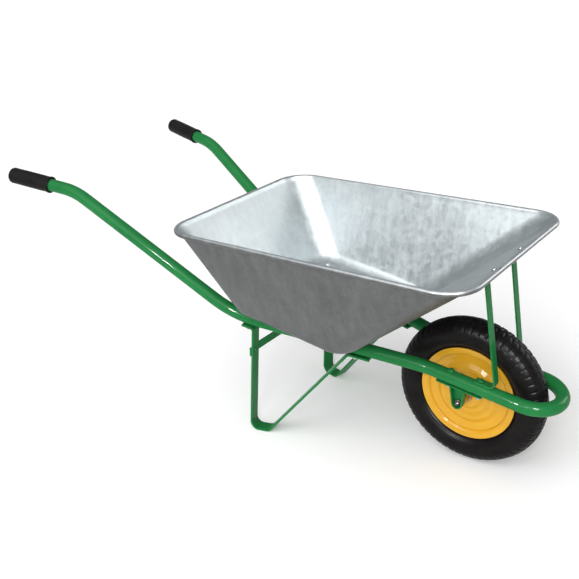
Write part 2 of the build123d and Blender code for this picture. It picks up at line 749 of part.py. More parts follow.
def build_tray_bolts():
    """Bolts down through the tray floor, the rails and the leg flanges."""
    planes = [(forward, side) for forward in TRAY_BOLT_STATIONS for side in (LEFT, RIGHT)]
    under_flange = -TUBE_R - LEG_STRIP - WASHER_DROP
    length = 2 * TUBE_R + SHEET + LEG_STRIP + WASHER_STRIP + M8_TAIL
    bolt = dome_bolt(M8_R, length, TRAY_HEAD_R, TRAY_HEAD_HEIGHT)
    heads = [tray_head_plane(forward, side) for forward, side in planes]
    save(placed_copies(bolt, heads), "tray_bolts")
    washers = [rail_plane(forward, side, under_flange) for forward, side in planes]
    save(placed_copies(plain_washer(M8_R, WASHER_R, WASHER_STRIP), washers), "tray_washers")
    nuts = [rail_plane(forward, side, under_flange - WASHER_STRIP) for forward, side in planes]
    save(placed_copies(hex_nut(M8_R, *M8_NUT), nuts), "tray_nuts")


def build_bracket_bolts():
    """Bolts down through the rails into the axle brackets; the front pair also hold the stays."""
    under_plate = -TUBE_R - PLATE_STRIP
    for place, forward, above in (
        ("rear", BRACKET_BOLT_STATIONS[0], TUBE_R),
        ("front", BRACKET_BOLT_STATIONS[1], TUBE_R + STAY_STRIP),
    ):
        length = above - under_plate + M8_TAIL
        heads = [rail_plane(forward, side, above) for side in (LEFT, RIGHT)]
        save(placed_copies(dome_bolt(M8_R, length, *BRACKET_HEAD), heads), f"bracket_{place}_bolts")
        nuts = [rail_plane(forward, side, under_plate) for side in (LEFT, RIGHT)]
        save(placed_copies(hex_nut(M8_R, *M8_NUT), nuts), f"bracket_{place}_nuts")


def build_stay_bolts():
    """Bolts from inside the tray out through its front wall and the stay tabs."""
    walls = [front_wall_plane(STAY_BOLT_FORWARD, STAY_HALF_GAP, side) for side in (LEFT, RIGHT)]
    under_tab = -STAY_STRIP - CLEAR
    heads = [wall.offset(SHEET) for wall in walls]
    bolt = dome_bolt(M6_R, SHEET - under_tab + M6_TAIL, *STAY_HEAD)
    save(placed_copies(bolt, heads), "stay_bolts")
    nuts = [wall.offset(under_tab) for wall in walls]
    save(placed_copies(hex_nut(M6_R, *M6_NUT), nuts), "stay_nuts")


def build_brace_bolts():
    """Bolts through the uprights that hold the brace behind them."""
    planes = [brace_bolt_plane(side) for side in (LEFT, RIGHT)]
    behind = -LEG_STRIP / 2 - CLEAR - BRACE_STRIP
    heads = [plane.offset(LEG_STRIP / 2) for plane in planes]
    bolt = dome_bolt(M6_R, LEG_STRIP / 2 - behind + M6_TAIL, *BRACE_HEAD)
    save(placed_copies(bolt, heads), "brace_bolts")
    nuts = [plane.offset(behind - CLEAR) for plane in planes]
    save(placed_copies(hex_nut(M6_R, *M6_NUT), nuts), "brace_nuts")


os.makedirs("parts", exist_ok=True)
build_frame_tube()
build_tray()
build_rim_wire()
build_leg_brace()
for side, hand in ((LEFT, "left"), (RIGHT, "right")):
    build_grip(side, f"{hand}_grip")
    build_leg(side, f"{hand}_leg")
    build_front_stay(side, f"{hand}_front_stay")
    build_axle_bracket(side, f"{hand}_axle_bracket")
    build_wheel_disc(side, f"{hand}_wheel_disc")
build_tyre()
build_inner_tube()
build_rim()
build_valve()
build_hub()
build_tray_bolts()
build_bracket_bolts()
build_stay_bolts()
build_brace_bolts()
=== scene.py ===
import json
from math import atan, cos, pi, radians, sin, sqrt, tan

import bpy
import numpy as np
from mathutils import Matrix, Quaternion, Vector


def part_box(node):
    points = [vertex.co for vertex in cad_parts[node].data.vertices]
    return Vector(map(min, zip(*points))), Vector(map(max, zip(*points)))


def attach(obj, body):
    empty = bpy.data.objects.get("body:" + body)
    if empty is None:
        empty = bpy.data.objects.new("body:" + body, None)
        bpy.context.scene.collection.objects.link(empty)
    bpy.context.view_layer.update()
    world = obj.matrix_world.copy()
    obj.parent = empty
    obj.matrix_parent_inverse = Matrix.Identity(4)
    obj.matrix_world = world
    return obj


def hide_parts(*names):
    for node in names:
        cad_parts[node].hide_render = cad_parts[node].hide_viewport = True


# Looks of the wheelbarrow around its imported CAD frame. Metres; +X forward, +Y left, +Z up.
# The frame tube, legs, stays, brackets, discs and small turned parts keep their CAD shapes; the
# tray, tyre, grips, bolts and nuts are replaced with finer meshes on the same axes and sizes.

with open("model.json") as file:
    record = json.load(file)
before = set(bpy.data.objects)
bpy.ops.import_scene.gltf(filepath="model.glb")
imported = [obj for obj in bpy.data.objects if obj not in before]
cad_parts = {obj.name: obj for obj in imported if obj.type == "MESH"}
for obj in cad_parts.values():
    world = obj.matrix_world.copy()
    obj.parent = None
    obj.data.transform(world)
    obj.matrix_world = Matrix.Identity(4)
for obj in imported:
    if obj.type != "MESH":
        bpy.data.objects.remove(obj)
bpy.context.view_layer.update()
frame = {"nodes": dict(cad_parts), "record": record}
NODES = frame["nodes"]
SLOT_OF = {part["node"]: part["material_slot"] for part in frame["record"]["subparts"]}
MM = 0.001

# The barrow is drawn with its tray rim level, then tipped about the axle until its feet are down.
GROUND_FALL = 0.015
AXLE = (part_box("tyre")[0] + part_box("tyre")[1]) / 2
TIP = Matrix.Translation(AXLE) @ Matrix.Rotation(atan(GROUND_FALL), 4, "Y") @ Matrix.Translation(-AXLE)

# ---------------------------------------------------------------- mesh helpers


def new_mesh(name, verts, faces, materials, face_slots=None, sharp_degrees=35.0):
    """Mesh object from points and faces, shaded smooth except where faces meet sharply."""
    mesh = bpy.data.meshes.new(name)
    mesh.from_pydata([tuple(v) for v in verts], [], [tuple(f) for f in faces])
    for material in materials:
        mesh.materials.append(material)
    if face_slots is not None:
        mesh.polygons.foreach_set("material_index", face_slots)
    mesh.validate()
    mesh.shade_smooth()
    mesh.set_sharp_from_angle(angle=radians(sharp_degrees))
    piece = bpy.data.objects.new(name, mesh)
    bpy.context.scene.collection.objects.link(piece)
    return piece


def grid_faces(rows, columns, wrap_rows=False):
    """Quads over a grid of points kept row by row, each row a closed ring."""
    faces = []
    for r in range(rows if wrap_rows else rows - 1):
        up = (r + 1) % rows
        for c in range(columns):
            on = (c + 1) % columns
            faces.append((r * columns + c, r * columns + on, up * columns + on, up * columns + c))
    return faces


def side_axes(axis):
    """Unit vector along an axis and two more, square to it and to each other."""
    axis = np.array(axis, float) / np.linalg.norm(axis)
    helper = np.array((0.0, 0.0, 1.0)) if abs(axis[2]) < 0.9 else np.array((1.0, 0.0, 0.0))
    first = np.cross(helper, axis)
    first /= np.linalg.norm(first)
    return axis, first, np.cross(axis, first)


def arc_points(start, middle, end, count):
    """Points along the circle through three points in a plane."""
    (ax, ay), (bx, by), (cx, cy) = start, middle, end
    d = 2 * (ax * (by - cy) + bx * (cy - ay) + cx * (ay - by))
    ux = ((ax**2 + ay**2) * (by - cy) + (bx**2 + by**2) * (cy - ay) + (cx**2 + cy**2) * (ay - by)) / d
    uy = ((ax**2 + ay**2) * (cx - bx) + (bx**2 + by**2) * (ax - cx) + (cx**2 + cy**2) * (bx - ax)) / d
    radius = sqrt((ax - ux) ** 2 + (ay - uy) ** 2)
    turns = [np.arctan2(y - uy, x - ux) for x, y in (start, middle, end)]
    while turns[1] < turns[0]:
        turns[1] += 2 * pi
    while turns[2] < turns[0]:
        turns[2] += 2 * pi
    if turns[1] > turns[2]:
        turns[2] -= 2 * pi
    angles = np.linspace(turns[0], turns[2], count)
    return [(ux + radius * cos(t), uy + radius * sin(t)) for t in angles]


def smooth_step(value, low, high):
    """0 below low, 1 above high, eased between."""
    t = np.clip((value - low) / (high - low), 0.0, 1.0)
    return t * t * (3 - 2 * t)


def mesh_points(node):
    """Points of a CAD node in the row frame."""
    return np.array([v.co for v in NODES[node].data.vertices], float)


def islands(node):
    """Point sets of the separate solids in a CAD node."""
    mesh = NODES[node].data
    points = mesh_points(node)
    keys = np.unique(np.round(points / (0.01 * MM)).astype(int), axis=0, return_inverse=True)[1].ravel()
    owner = list(range(int(keys.max()) + 1))

    def root(k):
        while owner[k] != k:
            owner[k] = owner[owner[k]]
            k = owner[k]
        return k

    for polygon in mesh.polygons:
        first = root(keys[polygon.vertices[0]])
        for vertex in polygon.vertices:
            owner[root(keys[vertex])] = first
    groups = {}
    for index, key in enumerate(keys):
        groups.setdefault(root(key), []).append(index)
    return [points[members] for members in groups.values()]


def long_axis(points):
    """Middle of a point set and the unit vector along its longest direction."""
    middle = (points.min(0) + points.max(0)) / 2
    spread = points - points.mean(0)
    return middle, np.linalg.svd(spread, full_matrices=False)[2][0]


# ---------------------------------------------------------------- material helpers


class Shade:
    """A principled material and short calls for the nodes in front of it."""

    def __init__(self, name, **settings):
        self.material = bpy.data.materials.new(name)
        self.material.use_nodes = True
        self.tree = self.material.node_tree
        self.shader = self.tree.nodes["Principled BSDF"]
        self.place = self.tree.nodes.new("ShaderNodeTexCoord").outputs["Object"]
        for socket, value in settings.items():
            self.shader.inputs[socket.replace("_", " ")].default_value = value

    def link(self, source, target):
        self.tree.links.new(source, target)
        return source

    def stretched(self, scale):
        """Object coordinates scaled by a different amount on each axis."""
        mapping = self.tree.nodes.new("ShaderNodeMapping")
        mapping.inputs["Scale"].default_value = scale
        self.link(self.place, mapping.inputs["Vector"])
        return mapping.outputs["Vector"]

    def noise(self, scale, detail=3.0, rough=0.5, stretch=(1, 1, 1), distortion=0.0):
        node = self.tree.nodes.new("ShaderNodeTexNoise")
        node.inputs["Scale"].default_value = scale
        node.inputs["Detail"].default_value = detail
        node.inputs["Roughness"].default_value = rough
        node.inputs["Distortion"].default_value = distortion
        self.link(self.stretched(stretch), node.inputs["Vector"])
        return node.outputs["Fac"]

    def cells(self, scale, stretch=(1, 1, 1)):
        """Random grey for each Voronoi cell."""
        node = self.tree.nodes.new("ShaderNodeTexVoronoi")
        node.inputs["Scale"].default_value = scale
        self.link(self.stretched(stretch), node.inputs["Vector"])
        grey = self.tree.nodes.new("ShaderNodeSeparateColor")
        self.link(node.outputs["Color"], grey.inputs["Color"])
        return grey.outputs["Red"]

    def ramp(self, source, low, high, start=0.0, end=1.0):
        """Source moved from the range start..end to the range low..high."""
        node = self.tree.nodes.new("ShaderNodeMapRange")
        node.inputs["From Min"].default_value = start
        node.inputs["From Max"].default_value = end
        node.inputs["To Min"].default_value = low
        node.inputs["To Max"].default_value = high
        self.link(source, node.inputs["Value"])
        return node.outputs["Result"]

    def combine(self, operation, first, second):
        node = self.tree.nodes.new("ShaderNodeMath")
        node.operation = operation
        for socket, value in zip(node.inputs, (first, second)):
            if isinstance(value, (int, float)):
                socket.default_value = value
            else:
                self.link(value, socket)
        return node.outputs["Value"]

    def mix(self, factor, first, second, blend="MIX"):
        """Colour from first to second by factor; each may be a colour or a socket."""
        node = self.tree.nodes.new("ShaderNodeMix")
        node.data_type = "RGBA"
        node.blend_type = blend
        if isinstance(factor, (int, float)):
            node.inputs["Factor"].default_value = factor
        else:
            self.link(factor, node.inputs["Factor"])
        for socket, value in ((node.inputs[6], first), (node.inputs[7], second)):
            if isinstance(value, tuple):
                socket.default_value = (*value, 1.0)
            else:
                self.link(value, socket)
        return node.outputs[2]

    def attribute(self, name):
        """Number kept on the points of the mesh."""
        node = self.tree.nodes.new("ShaderNodeAttribute")
        node.attribute_name = name
        return node.outputs["Fac"]

    def colour(self, source):
        return self.link(source, self.shader.inputs["Base Color"])

    def roughness(self, source):
        return self.link(source, self.shader.inputs["Roughness"])

    def bump(self, *layers, edge_radius=0.0):
        """Stacks (height source, height in metres) layers, over softened edges if a radius is given."""
        normal = None
        if edge_radius:
            bevel = self.tree.nodes.new("ShaderNodeBevel")
            bevel.samples = 6
            bevel.inputs["Radius"].default_value = edge_radius
            normal = bevel.outputs["Normal"]
        for source, height in layers:
            node = self.tree.nodes.new("ShaderNodeBump")
            node.inputs["Strength"].default_value = 1.0
            node.inputs["Distance"].default_value = height
            self.link(source, node.inputs["Height"])
            if normal is not None:
                self.link(normal, node.inputs["Normal"])
            normal = node.outputs["Normal"]
        self.link(normal, self.shader.inputs["Normal"])


def painted(name, light, dark, coat, coat_rough, edge_radius):
    """Gloss stoved paint: slight orange peel, soft colour drift, faint dust in the coat."""
    shade = Shade(
        name, Metallic=0.0, IOR=1.5, Specular_IOR_Level=0.03, Coat_Weight=coat, Coat_Roughness=coat_rough
    )
    drift = shade.noise(9.0, 4.0, 0.6)
    fleck = shade.noise(420.0, 2.0, 0.6)
    base = shade.mix(shade.ramp(drift, 0.0, 1.0, 0.3, 0.7), dark, light)
    shade.colour(shade.mix(shade.ramp(fleck, 0.0, 0.22, 0.5, 0.8), base, dark))
    worn = shade.combine("ADD", shade.ramp(drift, 0.3, 0.42), shade.ramp(fleck, 0.0, 0.06))
    shade.roughness(worn)
    peel = shade.noise(330.0, 2.0, 0.4)
    shade.bump((peel, 0.06 * MM), (shade.noise(1400.0, 1.0), 0.006 * MM), edge_radius=edge_radius)
    return shade.material


def galvanised(name, light, dark, metallic, rough_low, rough_high, painted_shade=None):
    """Hot-dip zinc on drawn sheet: spangle cells, upright flow streaks, cloudy patches, fine grain.

    With darker colours given for painted shade, the finish runs from that painted shade to the lit
    colours as the mesh's per-point lit share goes from 0 to 1.
    """
    shade = Shade(name, Metallic=metallic, IOR=1.5)
    spangle = shade.cells(85.0)
    fine_spangle = shade.cells(230.0)
    streak = shade.noise(52.0, 5.0, 0.66, stretch=(1, 1, 0.10), distortion=0.2)
    cloud = shade.noise(5.5, 4.0, 0.6)
    tone = shade.combine("MULTIPLY", shade.ramp(streak, 0.0, 1.0, 0.3, 0.72), 0.46)
    patch = shade.ramp(cloud, 0.0, 1.0, 0.3, 0.7)
    tone = shade.combine("ADD", tone, shade.combine("MULTIPLY", patch, 0.26))
    tone = shade.combine("ADD", tone, shade.combine("MULTIPLY", spangle, 0.17))
    tone = shade.combine("ADD", tone, shade.combine("MULTIPLY", fine_spangle, 0.11))
    finish = shade.mix(tone, dark, light)
    # Painted shade: where the mesh's lit share falls, the finish turns to the darker colours.
    if painted_shade:
        finish = shade.mix(shade.attribute("lit_share"), shade.mix(tone, *painted_shade), finish)
    shade.colour(finish)
    worn = shade.ramp(streak, rough_low, rough_high)
    shade.roughness(shade.combine("ADD", worn, shade.ramp(spangle, -0.04, 0.04)))
    ripple = shade.noise(6.0, 2.0, 0.4)
    grain = shade.noise(900.0, 2.0, 0.6)
    shade.bump((ripple, 1.1 * MM), (spangle, 0.012 * MM), (grain, 0.010 * MM))
    return shade.material


def plated(name, light, dark, rough, metallic=1.0):
    """Plated or bare metal with fine turning marks and slight staining."""
    shade = Shade(name, Metallic=metallic)
    stain = shade.noise(160.0, 4.0, 0.6)
    shade.colour(shade.mix(shade.ramp(stain, 0.0, 1.0, 0.35, 0.7), dark, light))
    shade.roughness(shade.ramp(stain, rough + 0.1, rough - 0.06, 0.3, 0.7))
    shade.bump((shade.noise(1900.0, 2.0), 0.012 * MM), (stain, 0.03 * MM), edge_radius=0.3 * MM)
    return shade.material


def rubber(name, light, dark, rough_low, rough_high, grain_scale, grain_height):
    """Moulded rubber with a grained skin and a little bloom."""
    shade = Shade(name, Metallic=0.0, IOR=1.5, Specular_IOR_Level=0.07)
    bloom = shade.noise(26.0, 5.0, 0.65)
    grain = shade.noise(grain_scale, 3.0, 0.6)
    shade.colour(shade.mix(shade.ramp(bloom, 0.0, 1.0, 0.32, 0.74), dark, light))
    worn = shade.ramp(bloom, rough_low, rough_high)
    shade.roughness(shade.combine("ADD", worn, shade.ramp(grain, -0.03, 0.03)))
    shade.bump((grain, grain_height), (bloom, 0.05 * MM))
    return shade.material


GREEN = painted("green_paint", (0.018, 0.200, 0.053), (0.012, 0.164, 0.041), 0.15, 0.05, 0.5 * MM)
YELLOW = painted("yellow_paint", (0.74, 0.395, 0.026), (0.69, 0.350, 0.020), 0.55, 0.06, 0.4 * MM)
# Zinc colour pairs, darker then lighter. The first pair is the zinc as lit; the second is a darker copy
# that paints shade on the tray's outside and under the rolled bead.
LIT_ZINC = ((0.26, 0.286, 0.295), (0.43, 0.462, 0.472))
SHADED_ZINC = ((0.082, 0.084, 0.086), (0.162, 0.166, 0.166))
ZINC_INSIDE = galvanised("galvanised_inside", LIT_ZINC[1], LIT_ZINC[0], 0.78, 0.40, 0.54)
# Outside of the tray: painted shade, its zinc colours darkened to stand in for the shade the outer walls
# lie in.
ZINC_OUTSIDE = galvanised("galvanised_outside", SHADED_ZINC[1], SHADED_ZINC[0], 0.80, 0.36, 0.52)
# Bead finish: lit zinc over the top of the bead, painted shade under its outer side.
ZINC_EDGE = galvanised(
    "galvanised_edge", LIT_ZINC[1], LIT_ZINC[0], 0.78, 0.36, 0.50, SHADED_ZINC
)
FASTENER = plated("zinc_fastener", (0.66, 0.67, 0.69), (0.44, 0.45, 0.47), 0.26)
STEEL = plated("bare_steel", (0.22, 0.20, 0.18), (0.09, 0.078, 0.07), 0.36)
BRONZE = plated("bush_bronze", (0.50, 0.33, 0.15), (0.34, 0.22, 0.10), 0.40)
BRASS = plated("spacer_brass", (0.66, 0.44, 0.17), (0.46, 0.27, 0.09), 0.30)
VALVE_BRASS = plated("valve_brass", (0.62, 0.48, 0.24), (0.42, 0.31, 0.14), 0.28)
TYRE_RUBBER = rubber(
    "tyre_rubber", (0.012, 0.011, 0.011), (0.006, 0.005, 0.005), 0.26, 0.44, 700.0, 0.03 * MM
)
TUBE_RUBBER = rubber(
    "tube_rubber", (0.030, 0.030, 0.030), (0.018, 0.018, 0.018), 0.55, 0.70, 500.0, 0.02 * MM
)
GRIP_RUBBER = rubber(
    "grip_rubber", (0.014, 0.013, 0.013), (0.008, 0.007, 0.007), 0.42, 0.58, 1100.0, 0.05 * MM
)
CAP_PLASTIC = rubber(
    "cap_plastic", (0.030, 0.030, 0.030), (0.020, 0.020, 0.020), 0.40, 0.52, 900.0, 0.01 * MM
)

SLOT_MATERIAL = {
    "green_paint": GREEN,
    "yellow_paint": YELLOW,
    "galvanised_sheet": ZINC_INSIDE,
    "zinc_fastener": FASTENER,
    "bare_steel": STEEL,
    "bush_bronze": BRONZE,
    "spacer_brass": BRASS,
    "valve_brass": VALVE_BRASS,
    "tyre_rubber": TYRE_RUBBER,
    "tube_rubber": TUBE_RUBBER,
    "grip_rubber": GRIP_RUBBER,
    "cap_plastic": CAP_PLASTIC,
}
for name, slot in SLOT_OF.items():
    NODES[name].data.materials.clear()
    NODES[name].data.materials.append(SLOT_MATERIAL[slot])


def finish_piece(piece, body, slot, *replaced):
    """Every new piece rides on a body and may stand for CAD nodes; its slot argument is not used."""
    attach(piece, body)
    if replaced:
        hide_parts(*replaced)


# ---------------------------------------------------------------- tray

SHEET = 1.5 * MM
BEAD_R = 6 * MM
RIM_CORNER_R = 72 * MM
FLOOR_CORNER_R = 60 * MM
FLOOR_FILLET_R = 30 * MM
FLOOR_FALL = 0.148
FLOOR_HALF_WIDTH = 205 * MM
FLOOR_BACK_INSET = 131 * MM
FLOOR_FRONT_INSET = 321 * MM
SHARP_DEGREES = 80
CORNER_STEPS = 20
SIDE_STEPS = 44
WALL_STEPS = 26
FILLET_STEPS = 9
# Degrees round the bead's section: 180 faces into the tray, 90 up and 0 outward
BEAD_START = 168
BEAD_END = -156
BEAD_STEP = 12
# Degrees round the bead over which its painted shade, under and outside, fades into the lit colours
BEAD_SHADE_FADE = (8.0, 62.0)
FLOOR_MIDDLE = 4 * MM
FLOOR_RINGS = (1.0, 0.88, 0.72, 0.5, 0.25)
FLOOR_RING_LENGTH = 0.75
LEAST_CORNER_R = 0.6 * MM
FILLET_WEIGHT = 0.78


def rounded_outline(x0, x1, half_width, radius):
    """Points and outward unit vectors round a rectangle with round corners, in matching steps."""
    points, outward = [], []
    corners = ((x1, half_width, 0), (x0, half_width, 90), (x0, -half_width, 180), (x1, -half_width, 270))
    for index, (cx, cy, start) in enumerate(corners):
        centre = Vector((cx - radius * (1 if cx == x1 else -1), cy - radius * (1 if cy > 0 else -1)))
        for step in range(CORNER_STEPS + 1):
            turn = radians(start + 90 * step / CORNER_STEPS)
            way = Vector((cos(turn), sin(turn)))
            points.append(centre + way * radius)
            outward.append(way)
        nx, ny, following = corners[(index + 1) % 4]
        next_centre = Vector((nx - radius * (1 if nx == x1 else -1), ny - radius * (1 if ny > 0 else -1)))
        turn = radians(following)
        way = Vector((cos(turn), sin(turn)))
        last = points[-1]
        target = next_centre + way * radius
        for step in range(1, SIDE_STEPS):
            points.append(last.lerp(target, step / SIDE_STEPS))
            outward.append(way)
    return points, outward


def drawn_box(node):
    """Lowest and highest corners of a CAD node before the barrow is tipped."""
    points = [TIP.inverted() @ Vector(p) for p in mesh_points(node)]
    low = Vector([min(p[axis] for p in points) for axis in range(3)])
    high = Vector([max(p[axis] for p in points) for axis in range(3)])
    return low, high


def floor_rings(floor_x0, floor_x1, floor_point):
    """Rings over the flat floor, from near its middle's outline out to its edge."""
    rings = []
    for shrink in FLOOR_RINGS:
        depth = shrink * (FLOOR_HALF_WIDTH - SHEET - FLOOR_MIDDLE)
        line, _ = rounded_outline(
            floor_x0 + SHEET + depth * FLOOR_RING_LENGTH,
            floor_x1 - SHEET - depth * FLOOR_RING_LENGTH,
            FLOOR_HALF_WIDTH - SHEET - depth,
            max(LEAST_CORNER_R, FLOOR_CORNER_R - SHEET - depth),
        )
        rings.append([floor_point(p) for p in line])
    return rings


def wall_rings(floor_line, floor_out, rim_line, rim_z, floor_point):
    """Rings up the fillet and the straight wall, from the floor to the rim."""
    strips = []
    for flat, way, top in zip(floor_line, floor_out, rim_line):
        edge = floor_point(flat)
        rim = Vector((top.x, top.y, rim_z))
        along = (rim - edge).normalized()
        inward = Vector((-way.x, -way.y, 0))
        inward.z = -FLOOR_FALL * inward.x
        inward.normalize()
        bend = pi - inward.angle(along)
        reach = (FLOOR_FILLET_R - SHEET) * tan(bend / 2)
        strips.append((edge, inward, along, (rim - edge).length, reach))
    rings = []
    for step in range(FILLET_STEPS + 1):
        t = step / FILLET_STEPS
        shares = ((1 - t) ** 2, 2 * FILLET_WEIGHT * t * (1 - t), t**2)
        ring = []
        for edge, inward, along, _, reach in strips:
            corners = (edge + inward * reach, edge, edge + along * reach)
            blend = sum((corner * share for corner, share in zip(corners, shares)), Vector())
            ring.append(blend / sum(shares))
        rings.append(ring)
    for step in range(1, WALL_STEPS + 1):
        t = step / WALL_STEPS
        ring = []
        for edge, _, along, full, reach in strips:
            ring.append(edge + along * (reach + (full - reach) * t))
        rings.append(ring)
    return rings


def bead_rings(back_x, front_x, half_width, rim_z):
    """Rings over the rolled bead, from inside the tray, over the top and back under the outside."""
    middle, outward = rounded_outline(back_x, front_x, half_width, RIM_CORNER_R)
    rings = []
    for degrees in range(BEAD_START, BEAD_END - 1, -BEAD_STEP):
        turn = radians(degrees)
        ring = []
        for flat, way in zip(middle, outward):
            spot = flat + way * (BEAD_R * cos(turn))
            ring.append(Vector((spot.x, spot.y, rim_z + BEAD_R * sin(turn))))
        rings.append(ring)
    return rings


def build_tray():
    """Drawn sheet: floor, filleted sides up to the rim, and the edge rolled over the wire."""
    low, high = drawn_box("tray")
    rim_z = high.z - BEAD_R
    back_x, front_x = low.x + BEAD_R, high.x - BEAD_R
    half_width = high.y - BEAD_R
    floor_x0 = back_x + FLOOR_BACK_INSET
    floor_x1 = front_x - FLOOR_FRONT_INSET
    floor_top = low.z + SHEET / Vector((FLOOR_FALL, 0, 1)).normalized().z

    def floor_point(flat):
        return Vector((flat.x, flat.y, floor_top - FLOOR_FALL * (flat.x - floor_x1)))

    floor_line, floor_out = rounded_outline(
        floor_x0 + SHEET, floor_x1 - SHEET, FLOOR_HALF_WIDTH - SHEET, FLOOR_CORNER_R - SHEET
    )
    rim_line, _ = rounded_outline(
        back_x + BEAD_R, front_x - BEAD_R, half_width - BEAD_R, RIM_CORNER_R - BEAD_R
    )
    columns = len(floor_line)
    rings = floor_rings(floor_x0, floor_x1, floor_point)
    rings += wall_rings(floor_line, floor_out, rim_line, rim_z, floor_point)
    # Share of lit colour at each point: the whole sheet takes the lit zinc, while the bead's rings below
    # take painted shade on their outer underside.
    lit_share = [1.0] * (len(rings) * columns)
    sheet_faces = (len(rings) - 1) * columns
    rings += bead_rings(back_x, front_x, half_width, rim_z)
    for degrees in range(BEAD_START, BEAD_END - 1, -BEAD_STEP):
        lit_share += [float(smooth_step(degrees, *BEAD_SHADE_FADE))] * columns
    verts = [TIP @ p for ring in rings for p in ring]
    faces = grid_faces(len(rings), columns)
    slots = [0] * sheet_faces + [2] * (len(faces) - sheet_faces) + [0]
    faces.append(tuple(reversed(range(columns))))
    finishes = [ZINC_OUTSIDE, ZINC_INSIDE, ZINC_EDGE]
    tray = new_mesh("tray_sheet", verts, faces, finishes, slots, SHARP_DEGREES)
    tray.data.attributes.new("lit_share", "FLOAT", "POINT").data.foreach_set("value", lit_share)
    shell = tray.modifiers.new("sheet", "SOLIDIFY")
    shell.thickness = SHEET
    shell.offset = 1.0
    shell.use_even_offset = True
    shell.material_offset = 1
    shell.material_offset_rim = 1
    finish_piece(tray, "frame", "galvanised_sheet", "tray")


build_tray()

# ---------------------------------------------------------------- wheel

# Radius and half width at points of the section, in millimetres
CROWN_R = 180.0
SHOULDER = (171.5, 27.0)
WIDEST = (146.0, 38.5)
WALL_FOOT = (117.5, 23.3)
BEAD_FOOT = ((104.6, 20.5), (103.6, 9.7), (110.0, 11.7), (117.0, 17.7))
INNER_WIDEST = (144.0, 33.5)
INNER_SHOULDER = (164.5, 20.0)
INNER_CROWN_R = 172.0
WALL_STATIONS = 34
# Moulded lines round the sidewall: radius, width, height
MOULDED_LINES = ((134.0, 0.8, 0.55), (128.5, 0.8, 0.55), (121.5, 1.6, 0.8), (153.5, 0.7, 0.5))

TREAD_PITCHES = 58
PITCH_STEPS = 12
TREAD_DEPTH = 1.5
GROOVE_FADE = (6.0, 13.0)
WALL_LEAN = 18.0
CENTRE_GROOVE = 1.1
MIDDLE_ROW = 13.9
SHOULDER_ROW = 16.6
BLOCK_SLANT = 0.018
CROWN_STATIONS = (
    26.9, 25, 23, 21, 19, 17.2, 16.7, 16.4, 14.4, 14.1, 13.8, 11.5, 9, 6.5, 4, 1.6, 1.25, 0.95, 0.4
)


def tread_height(phase, across):
    """How far the tread stands above its grooves: 0 in a groove, 1 on a block."""
    width = abs(across)
    if width < CENTRE_GROOVE or MIDDLE_ROW < width < SHOULDER_ROW:
        return 0.0
    stagger = 0.5 if across > 0 else 0.0
    if width < SHOULDER_ROW:
        slant = (phase + stagger + 0.5 + BLOCK_SLANT * width) % 1.0
        return smooth_step(slant, 0.0, 0.07) * (1 - smooth_step(slant, 0.80, 0.87))
    pitch = (phase + stagger) % 1.0
    return smooth_step(pitch, 0.0, 0.07) * (1 - smooth_step(pitch, 0.76, 0.83))


def tyre_profile():
    """Section as (radius, half width, kind), from the left bead over the crown and back inside."""
    shoulder_r, shoulder_y = SHOULDER
    drop = CROWN_R - shoulder_r
    arc_r = (drop**2 + shoulder_y**2) / (2 * drop)
    wall = arc_points(SHOULDER, WIDEST, WALL_FOOT, WALL_STATIONS)
    stations = list(CROWN_STATIONS) + [-y for y in reversed(CROWN_STATIONS)]
    profile = [(r, y, "wall") for r, y in reversed(wall)]
    profile += [(CROWN_R - arc_r + sqrt(arc_r**2 - y**2), y, "crown") for y in stations]
    profile += [(r, -y, "wall") for r, y in wall]
    profile += [(r, -y, "in") for r, y in BEAD_FOOT]
    foot_r, foot_y = BEAD_FOOT[-1]
    wide_r, wide_y = INNER_WIDEST
    side_r, side_y = INNER_SHOULDER
    inner = arc_points((foot_r, -foot_y), (wide_r, -wide_y), (side_r, -side_y), 9)[1:]
    roof = arc_points((side_r, -side_y), (INNER_CROWN_R, 0.0), (side_r, side_y), 7)[1:]
    profile += [(r, y, "in") for r, y in inner + roof]
    profile += [(r, -y, "in") for r, y in reversed(inner[:-1])]
    profile += [(r, y, "in") for r, y in reversed(BEAD_FOOT)]
    return profile


def build_tyre():
    """Tyre with blocks over the crown, ribs over the shoulders and moulded lines on the sidewalls."""
    columns = TREAD_PITCHES * PITCH_STEPS
    turns = np.arange(columns) * 2 * pi / columns
    phases = (np.arange(columns) / PITCH_STEPS) % 1.0
    rows = []
    for r, y, kind in tyre_profile():
        radius = np.full(columns, r)
        across = np.full(columns, y)
        if kind == "crown":
            radius = radius - TREAD_DEPTH * (1 - tread_height(phases, y))
        elif kind == "wall":
            side = np.sign(y)
            drop = SHOULDER[0] - r
            fade = float(1 - smooth_step(drop, *GROOVE_FADE))
            sunk = TREAD_DEPTH * (1 - tread_height(phases, SHOULDER[1] * side)) * fade
            lean = min(1.0, drop / WALL_LEAN)
            radius = radius - sunk * (1 - 0.5 * lean)
            across = across - side * sunk * lean
            for line_r, width, height in MOULDED_LINES:
                across = across + side * height * np.exp(-(((r - line_r) / width) ** 2))
        x = AXLE.x + radius * MM * np.cos(turns)
        z = AXLE.z + radius * MM * np.sin(turns)
        rows.append(np.stack([x, AXLE.y + across * MM, z], axis=1))
    faces = grid_faces(len(rows), columns, wrap_rows=True)
    tyre = new_mesh("tyre_tread", np.concatenate(rows), faces, [TYRE_RUBBER], sharp_degrees=40)
    finish_piece(tyre, "wheel", "tyre_rubber", "tyre")


build_tyre()

# ---------------------------------------------------------------- grips

